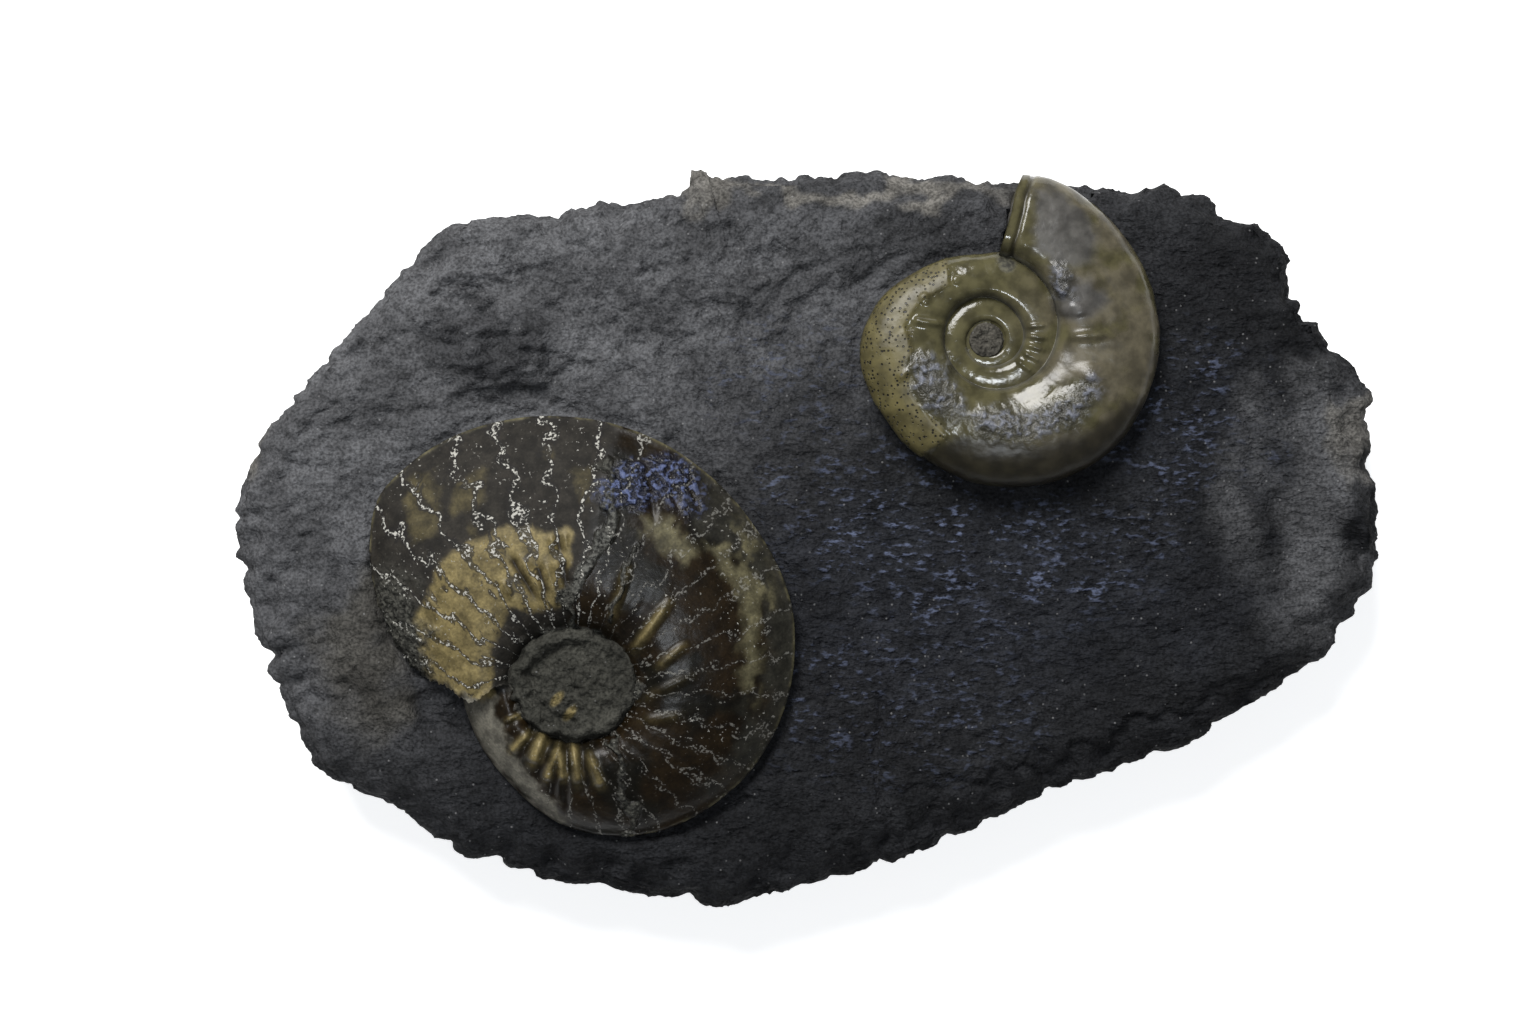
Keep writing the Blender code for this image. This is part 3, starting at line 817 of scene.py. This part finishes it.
# Ribs of the small shell, in pixels: from, to, half width and rise.
SMALL_RIBS = (
    ((913, 320), (941, 324), 4.0, 0.45),
    ((898, 379), (916, 366), 4.0, 0.35),
    ((1070, 338), (1111, 334), 4.5, 0.45),
    ((1028, 327), (1046, 325), 2.5, 0.25),
    ((1028, 336), (1046, 338), 2.5, 0.25),
    ((1027, 345), (1043, 350), 2.5, 0.25),
    ((1024, 353), (1040, 361), 2.5, 0.25),
    ((1018, 361), (1032, 372), 2.5, 0.25),
)
# Bumps of the small shell, in pixels: the middle, the two radii and the rise.
SMALL_BUMPS = (
    ((957, 280), (6, 6), 0.2),
    ((925, 299), (8, 8), 0.2),
    ((1062, 284), (12, 16), 0.3),
    ((1075, 310), (20, 9), 0.25),
    ((1094, 372), (24, 12), 0.3),
    ((1080, 398), (26, 12), 0.25),
    ((1060, 418), (20, 16), 0.2),
    ((1010, 425), (22, 14), 0.2),
    ((930, 392), (14, 18), 0.25),
    ((1110, 300), (30, 30), -0.2),
)
# The pitted layer that is left on the small shell's outer side.
PITTED_LAYER = (
    (948, 258), (905, 275), (880, 298), (862, 330), (856, 360), (866, 402), (888, 432), (920, 458),
    (936, 447), (948, 436), (932, 420), (912, 396), (905, 372), (912, 348), (905, 325), (922, 300),
    (950, 285),
)
# The small shell's lower side, painted dark brown: partly its own colour and partly painted shade
# where it faces away from the light.
SHADED_VENTER = (
    (924, 458), (950, 436), (985, 438), (1040, 444), (1090, 430), (1125, 404), (1160, 400),
    (1120, 460), (1060, 496), (990, 500), (940, 480),
)
VIOLET_PATCHES = (
    ((1034, 190), (1050, 186), (1076, 204), (1100, 232), (1092, 262), (1060, 270), (1036, 250)),
    ((1052, 272), (1090, 282), (1110, 300), (1090, 320), (1058, 318)),
)
# Where blue-white reflections are painted on the small shell's flanks, in pixels.
REFLECTION_PATCHES = (
    ((913, 360), (930, 350), (950, 372), (962, 405), (950, 420), (926, 402), (912, 384)),
    ((960, 418), (990, 408), (1030, 412), (1070, 396), (1092, 372), (1100, 392), (1080, 424),
     (1030, 440), (985, 436)),
    ((1052, 268), (1072, 276), (1070, 300), (1056, 296)),
)
OLIVE_COAT = (0.064, 0.058, 0.028, 0.15, 0)
PITTED_COAT = (0.088, 0.075, 0.030, 0.42, 0)
# Dark brown: partly the small shell's own colour on its lower side, and painted shade there and in
# the groove behind the lip.
SHADE_BROWN_COAT = (0.011, 0.009, 0.005, 0.40, 0)
UMBER_COAT = (0.082, 0.071, 0.048, 0.34, 0)
VIOLET_COAT = (0.060, 0.058, 0.056, 0.34, 0)
# Grey under the small shell's painted reflections.
REFLECTION_GREY_COAT = (0.046, 0.045, 0.040, 0.30, 0)
SEAM_COAT = (0.075, 0.072, 0.058, 0.70, 0)


def small_lip(angle, radius):
    """The raised band along the small shell's mouth, and the groove behind it."""
    back = np.radians(angle) * radius
    lip = 1 - smooth_step(0.8, 1.1, back)
    groove = np.exp(-(((back - 1.3) / 0.25) ** 2))
    return lip, groove


def small_relief(points, angle, radius):
    """How far the small shell's surface stands out: lip, ribs, bumps and the pitted layer."""
    column, row = on_photo(*np.moveaxis(points, -1, 0))
    place = points.reshape(-1, 3)
    fine = fractal(place, 0.9, 3, seed=51).reshape(angle.shape)
    broad = fractal(place, 5, 2, seed=52).reshape(angle.shape)
    relief = (1 - 0.75 * smooth_step(320, 380, angle)) * (0.16 * broad + 0.03 * fine)
    rises = np.array([rib[3] for rib in SMALL_RIBS])
    relief += np.tensordot(rises, over_marks(column, row, SMALL_RIBS), 1)
    for centre, radii, rise in SMALL_BUMPS:
        relief += rise * blob(column, row, centre, radii)
    lip, groove = small_lip(angle, radius)
    relief += 0.12 * lip - 0.3 * groove
    relief += 0.22 * patch(column, row, PITTED_LAYER, 4)
    relief += 0.12 * fine * sum(patch(column, row, corners, 12) for corners in REFLECTION_PATCHES)
    return relief


def small_values(surface, angle, radius, broken):
    points = np.array(surface.points)
    column, row = on_photo(*points.T)
    wobble = 5 * fractal(points, 1.8, 4, seed=61)
    blotch = fractal(points, 5, 4, seed=62)
    at_x, at_y = column + wobble, row - wobble
    finish = Finish(len(points), OLIVE_COAT)
    right = smooth_step(990, 1080, at_x)
    finish.lay(0.85 * right * smooth_step(-0.3, 0.3, blotch + 0.2), UMBER_COAT)
    finish.lay(patch(at_x, at_y, PITTED_LAYER, 6), PITTED_COAT)
    # Painted shade, with the shell's own brown, on its lower side.
    finish.lay(0.9 * patch(at_x, at_y, SHADED_VENTER, 16), SHADE_BROWN_COAT)
    for corners in VIOLET_PATCHES:
        finish.lay(0.85 * patch(at_x, at_y, corners, 14), VIOLET_COAT)
    flecks = sum(patch(at_x, at_y, corners, 24) for corners in REFLECTION_PATCHES)
    # Painted reflections: the flanks are greyed where blue-white reflections are painted.
    finish.lay(0.8 * flecks, REFLECTION_GREY_COAT)
    seam = np.exp(-(((radius - along(SMALL.seam, angle)) / 0.28) ** 2)) * (angle < 600)
    finish.lay(0.8 * seam * ~broken, SEAM_COAT)
    lip, groove = small_lip(angle, radius)
    finish.lay(0.6 * lip * ~broken, OLIVE_COAT)
    # Painted shade in the groove behind the lip.
    finish.lay(0.8 * groove * ~broken, SHADE_BROWN_COAT)
    crust = blob(at_x, at_y, (1006, 262), (16, 14)) * ~broken
    finish.lay(0.7 * crust, CRUST_SHALE)
    finish.lay(broken, BROWN_SHALE)
    values = finish.values()
    values["crust"] = crust
    values["pits"] = patch(at_x, at_y, PITTED_LAYER, 10)
    values["flecks"] = flecks
    return values


def grey(value):
    return (value, value, value, 1)


class Nodes:
    """The nodes of one material. Sizes are in millimetres on the object."""

    def __init__(self, name):
        self.material = bpy.data.materials.new(name)
        self.material.use_nodes = True
        self.tree = self.material.node_tree
        self.shader = self.tree.nodes["Principled BSDF"]
        self.place = self.new("ShaderNodeTexCoord", output="Object")

    def new(self, kind, inputs=(), output=0, **settings):
        node = self.tree.nodes.new(kind)
        for key, value in settings.items():
            setattr(node, key, value)
        for key, value in dict(inputs).items():
            if isinstance(value, bpy.types.NodeSocket):
                self.tree.links.new(value, node.inputs[key])
            else:
                node.inputs[key].default_value = value
        return node.outputs[output]

    def attribute(self, name, output="Fac"):
        return self.new("ShaderNodeAttribute", attribute_name=name, output=output)

    def grain(self, stretch, turn=0.0):
        inputs = {"Vector": self.place, "Scale": stretch, "Rotation": (0, 0, math.radians(turn))}
        return self.new("ShaderNodeMapping", inputs)

    def noise(self, size, detail=4.0, place=None):
        inputs = {"Vector": place or self.place, "Scale": 1 / MM / size, "Detail": detail}
        return self.new("ShaderNodeTexNoise", inputs)

    def cells(self, size, output="Distance"):
        inputs = {"Vector": self.place, "Scale": 1 / MM / size}
        return self.new("ShaderNodeTexVoronoi", inputs, output=output)

    def math(self, operation, first, second=0.0):
        return self.new("ShaderNodeMath", {0: first, 1: second}, operation=operation)

    def vector(self, operation, first, second):
        """Vector arithmetic, where SCALE takes a number as its second value."""
        second_key = "Scale" if operation == "SCALE" else 1
        return self.new("ShaderNodeVectorMath", {0: first, second_key: second}, operation=operation)

    def step(self, value, low, high, start=0.0, end=1.0):
        inputs = {"Value": value, "From Min": low, "From Max": high, "To Min": start, "To Max": end}
        return self.new("ShaderNodeMapRange", inputs, interpolation_type="SMOOTHSTEP")

    def mix(self, share, first, second, blend="MIX"):
        inputs = {0: share, 6: first, 7: second}
        return self.new("ShaderNodeMix", inputs, output=2, data_type="RGBA", blend_type=blend)

    def times(self, colour, share):
        return self.mix(1.0, colour, share, "MULTIPLY")

    def bump(self, height, depth, before=None):
        inputs = {"Height": height, "Distance": depth * MM}
        if before:
            inputs["Normal"] = before
        return self.new("ShaderNodeBump", inputs)

    def finish(self, colour, roughness, normal, metallic=None):
        links = {"Base Color": colour, "Roughness": roughness, "Normal": normal}
        if metallic:
            links["Metallic"] = metallic
        for key, value in links.items():
            self.tree.links.new(value, self.shader.inputs[key])
        return self.material


def shale_material(name, layered=True):
    """Fine dark mudstone: knobbly where it is weathered, thin silky layers where it is fresh, with
    painted blue glints on those layers.
    """
    nodes = Nodes(name)
    fine = nodes.noise(0.35, 5)
    colour = nodes.attribute("tint", "Vector")
    colour = nodes.times(colour, nodes.step(nodes.noise(6.0, 5), 0.33, 0.66, 0.75, 1.18))
    colour = nodes.times(colour, nodes.step(nodes.noise(1.4, 5), 0.30, 0.60, 0.72, 1.12))
    colour = nodes.times(colour, nodes.step(fine, 0.30, 0.66, 0.62, 1.30))
    bright = nodes.step(nodes.cells(0.55, "Color"), 0.80, 0.86)
    spark = nodes.math("MULTIPLY", bright, nodes.step(nodes.cells(0.55), 0.30, 0.12))
    colour = nodes.mix(nodes.math("MULTIPLY", spark, 0.35), colour, grey(0.30))
    bump = nodes.bump(nodes.noise(1.1, 6), 0.55)
    if layered:
        layers = nodes.attribute("layers")
        streaks = nodes.noise(0.6, 6, nodes.grain((0.5, 1.1, 1), 6))
        # Painted blue glints: streaks on the fresh layers are turned bluish in the colour.
        painted_shine = nodes.math("MULTIPLY", nodes.step(streaks, 0.52, 0.68), nodes.attribute("painted_glint"))
        colour = nodes.mix(painted_shine, colour, (0.105, 0.125, 0.195, 1))
        bump = nodes.bump(nodes.math("MULTIPLY", streaks, layers), 0.45, bump)
    bump = nodes.bump(fine, 0.16, bump)
    nodes.shader.inputs["Specular IOR Level"].default_value = 0.1
    return nodes.finish(colour, nodes.attribute("rough"), bump)


SUTURE_SPACING = 4.8
# The two foldings of a suture line: the size of a fold and how far it swings.
SUTURE_FOLDS = ((2.6, 6.0), (0.8, 1.7))


def suture_lines(nodes):
    """A wide and a narrow line along each wall of the shell's chambers, folded by noise into
    lobes within lobes.
    """
    place = nodes.attribute("coil", "Vector")
    for size, reach in SUTURE_FOLDS:
        inputs = {"Vector": place, "Scale": 1 / size, "Detail": 1.0}
        swing = nodes.new("ShaderNodeTexNoise", inputs, output=1)
        swing = nodes.vector("SUBTRACT", swing, (0.5, 0.5, 0.5))
        place = nodes.vector("ADD", place, nodes.vector("SCALE", swing, reach))
    turns = nodes.new("ShaderNodeSeparateXYZ", {0: place})
    turns = nodes.math("FRACT", nodes.math("DIVIDE", turns, SUTURE_SPACING))
    away = nodes.math("ABSOLUTE", nodes.math("SUBTRACT", turns, 0.5))
    share = nodes.attribute("suture")
    wide = nodes.math("MULTIPLY", nodes.step(away, 0.17, 0.10), share)
    narrow = nodes.math("MULTIPLY", nodes.step(away, 0.080, 0.045), share)
    return wide, narrow


def large_shell_material():
    """Dark polished shell with frilled suture lines that have gone silvery, and painted blue glints.
    """
    nodes = Nodes("large shell")
    tint = nodes.attribute("tint", "Vector")
    colour = nodes.times(tint, nodes.step(nodes.noise(1.6, 6), 0.3, 0.7, 0.6, 1.4))
    colour = nodes.times(colour, nodes.step(nodes.noise(0.3, 3), 0.3, 0.7, 0.8, 1.2))
    wide, narrow = suture_lines(nodes)
    colour = nodes.mix(nodes.math("MULTIPLY", wide, 0.75), colour, (0.012, 0.011, 0.010, 1))
    crust = nodes.attribute("crust")
    grit = nodes.step(nodes.noise(0.45, 4), 0.35, 0.65, 0.35, 1.9)
    colour = nodes.mix(crust, colour, nodes.times(tint, grit))
    dashes = nodes.step(nodes.noise(0.32, 2), 0.47, 0.60)
    some = nodes.step(nodes.noise(5.0, 3), 0.45, 0.65, 0.05, 0.7)
    crumbs = nodes.math("MULTIPLY", nodes.step(nodes.noise(0.40, 2), 0.66, 0.72), some)
    silver = nodes.math("MAXIMUM", nodes.math("MULTIPLY", narrow, dashes), crumbs)
    colour = nodes.mix(silver, colour, (0.42, 0.41, 0.37, 1))
    painted_glint = nodes.attribute("painted_glint")
    flecks = nodes.noise(0.7, 4)
    # Painted blue glints: bright blue flecks in the colour.
    painted_glint_flecks = nodes.math("MULTIPLY", nodes.step(flecks, 0.48, 0.66), painted_glint)
    colour = nodes.mix(painted_glint_flecks, colour, (0.10, 0.125, 0.24, 1))
    rough = nodes.math("ADD", nodes.attribute("rough"), nodes.math("MULTIPLY", silver, 0.2))
    bump = nodes.bump(nodes.noise(0.5, 4), 0.03)
    bump = nodes.bump(nodes.math("MULTIPLY", nodes.noise(0.5, 4), crust), 0.5, bump)
    bump = nodes.bump(silver, 0.06, bump)
    bump = nodes.bump(nodes.math("MULTIPLY", flecks, painted_glint), 0.8, bump)
    nodes.shader.inputs["Specular IOR Level"].default_value = 0.2
    return nodes.finish(colour, rough, bump, nodes.attribute("metal"))


def small_shell_material():
    """Glossy olive shell, pitted where its outer layer is left, with painted blue-white reflections
    in flecks on its flanks.
    """
    nodes = Nodes("small shell")
    tint = nodes.attribute("tint", "Vector")
    colour = nodes.times(tint, nodes.step(nodes.noise(1.8, 6), 0.3, 0.7, 0.65, 1.35))
    pits = nodes.step(nodes.cells(0.45), 0.36, 0.22)
    pits = nodes.math("MULTIPLY", pits, nodes.step(nodes.cells(0.45, "Color"), 0.30, 0.45))
    pits = nodes.math("MULTIPLY", pits, nodes.attribute("pits"))
    colour = nodes.mix(pits, colour, (0.008, 0.007, 0.004, 1))
    grit = nodes.step(nodes.noise(0.45, 4), 0.35, 0.65, 0.4, 1.8)
    colour = nodes.mix(nodes.attribute("crust"), colour, nodes.times(tint, grit))
    painted_reflection = nodes.attribute("flecks")
    flecks = nodes.noise(0.9, 5)
    # Painted reflections: blue-white flecks in the colour on the flanks.
    painted_glint_flecks = nodes.math("MULTIPLY", nodes.step(flecks, 0.46, 0.66), painted_reflection)
    colour = nodes.mix(nodes.math("MULTIPLY", painted_glint_flecks, 0.6), colour, (0.19, 0.205, 0.26, 1))
    bump = nodes.bump(nodes.noise(0.8, 4), 0.04)
    bump = nodes.bump(nodes.math("MULTIPLY", flecks, painted_reflection), 0.7, bump)
    bump = nodes.bump(nodes.math("SUBTRACT", 1.0, pits), 0.12, bump)
    nodes.shader.inputs["Specular IOR Level"].default_value = 0.4
    return nodes.finish(colour, nodes.attribute("rough"), bump, nodes.attribute("metal"))


def fill_surface(centre, radii, columns, height, drop):
    """A lump of shale on an oval footing. height says how far each point stands over the
    centre, and drop how deep the foot reaches under it.
    """
    surface = Surface()
    turn = np.radians(np.arange(columns) * 360 / columns)[None, :]
    share = (np.arange(1, columns // 3) / (columns // 3 - 1))[:, None]
    x = centre[0] + radii[0] * share * np.cos(turn)
    y = centre[1] + radii[1] * share * np.sin(turn)
    z = centre[2] + height(x, y, share + 0 * turn)
    top = surface.add(np.stack((x, y, z), axis=-1))
    top = np.concatenate((top, top[:, :1]), axis=1)
    surface.fan(surface.add((centre[0], centre[1], z[0].mean())), top[0])
    surface.quads(top, flip=True)
    foot_x = centre[0] + 0.94 * (x[-1] - centre[0])
    foot_y = centre[1] + 0.94 * (y[-1] - centre[1])
    foot = surface.add(np.stack((foot_x, foot_y, 0 * foot_x + centre[2] - drop), axis=-1))
    foot = np.append(foot, foot[0])
    surface.quads(np.stack((top[-1], foot)), flip=True)
    surface.fan(surface.add((centre[0], centre[1], centre[2] - drop)), foot, flip=True)
    return surface


def ground_noise(x, y, size, seed):
    """Layered noise over a grid of points of the ground."""
    place = np.stack((x, y, 0 * x), axis=-1).reshape(-1, 3)
    return fractal(place, size, 4, seed).reshape(x.shape)


def build_large_fill(material):
    centre = (*from_photo(575, 684, 18.4), 17.6)

    def height(x, y, share):
        share = share + 0.10 * ground_noise(x, y, 2.0, 73)
        ring = np.exp(-(((share - 0.78) / 0.09) ** 2))
        trench = np.exp(-(((share - 0.60) / 0.08) ** 2)) * (0.4 + (x < centre[0]))
        edge = smooth_step(0.84, 1.0, share)
        return 0.8 + 0.4 * ring - 0.4 * trench - 1.9 * edge + 0.4 * ground_noise(x, y, 1.2, 71)

    fill = fill_surface(centre, (8.2, 7.1), 170, height, 2.4)
    finish = Finish(len(fill.points), CRUST_SHALE)
    column, row = on_photo(*np.array(fill.points).T)
    for place in ((557, 699), (570, 713)):
        finish.lay(blob(column, row, place, (6, 12), 40), GOLD_SHELL)
    put_in_scene("large_umbilicus_fill", fill, material, finish.values())


def build_small_fill(material):
    centre = (*from_photo(986, 341, 17), 17.6)

    def height(x, y, share):
        return 0.25 * ground_noise(x, y, 0.8, 72) - 0.5 * smooth_step(0.85, 1.0, share)

    fill = fill_surface(centre, (2.1, 2.1), 90, height, 0.8)
    values = Finish(len(fill.points), BROWN_SHALE).values()
    put_in_scene("small_umbilicus_fill", fill, material, values)


def build_camera():
    camera = bpy.data.cameras.new("camera")
    camera.lens = LENS
    camera.sensor_width = SENSOR
    camera.clip_start = 0.01
    holder = bpy.data.objects.new("camera", camera)
    holder.location = Vector((*CAMERA_PLACE, WIDEST_HEIGHT + CAMERA_DISTANCE)) * MM
    bpy.context.scene.collection.objects.link(holder)
    bpy.context.scene.camera = holder


def add_light(name, place, size, power, colour):
    """A round soft light, at a place in metres, that faces the object."""
    light = bpy.data.lights.new(name, "AREA")
    light.shape = "DISK"
    light.size = size
    light.energy = power
    light.color = colour
    holder = bpy.data.objects.new(name, light)
    holder.location = place
    holder.rotation_euler = Vector(place).to_track_quat("Z", "Y").to_euler()
    bpy.context.scene.collection.objects.link(holder)


FLOOR_SIZE = 3.0


def build_stage():
    mesh = bpy.data.meshes.new("floor")
    half = FLOOR_SIZE / 2
    corners = [(-half, -half, 0), (half, -half, 0), (half, half, 0), (-half, half, 0)]
    mesh.from_pydata(corners, [], [(0, 1, 2, 3)])
    material = bpy.data.materials.new("pale floor")
    material.use_nodes = True
    shader = material.node_tree.nodes["Principled BSDF"]
    shader.inputs["Base Color"].default_value = grey(0.9)
    shader.inputs["Roughness"].default_value = 0.9
    shader.inputs["Emission Color"].default_value = grey(1)
    shader.inputs["Emission Strength"].default_value = 0.6
    mesh.materials.append(material)
    floor = bpy.data.objects.new("floor", mesh)
    bpy.context.scene.collection.objects.link(floor)
    world = bpy.data.worlds.new("studio")
    world.use_nodes = True
    background = world.node_tree.nodes["Background"]
    background.inputs["Color"].default_value = (0.95, 0.97, 1.0, 1)
    background.inputs["Strength"].default_value = 0.14
    bpy.context.scene.world = world
    bpy.context.scene.view_settings.view_transform = "Standard"
    add_light("key light", (-0.26, 0.66, 0.74), 0.55, 14.0, (1.0, 0.99, 0.98))
    add_light("overhead light", (0.02, -0.02, 0.85), 0.14, 2.0, (0.90, 0.95, 1.0))


def main():
    build_camera()
    build_stage()
    shale = shale_material("shale")
    surface = slab_surface()
    put_in_scene("matrix_slab", surface, shale, slab_values(surface))
    surface, *facts = coil_surface(LARGE, large_relief)
    values = large_values(surface, *facts)
    put_in_scene("large_ammonite", surface, large_shell_material(), values)
    surface, *facts = coil_surface(SMALL, small_relief)
    values = small_values(surface, *facts)
    put_in_scene("small_ammonite", surface, small_shell_material(), values)
    umbilicus_shale = shale_material("umbilicus shale", layered=False)
    build_large_fill(umbilicus_shale)
    build_small_fill(umbilicus_shale)


main()
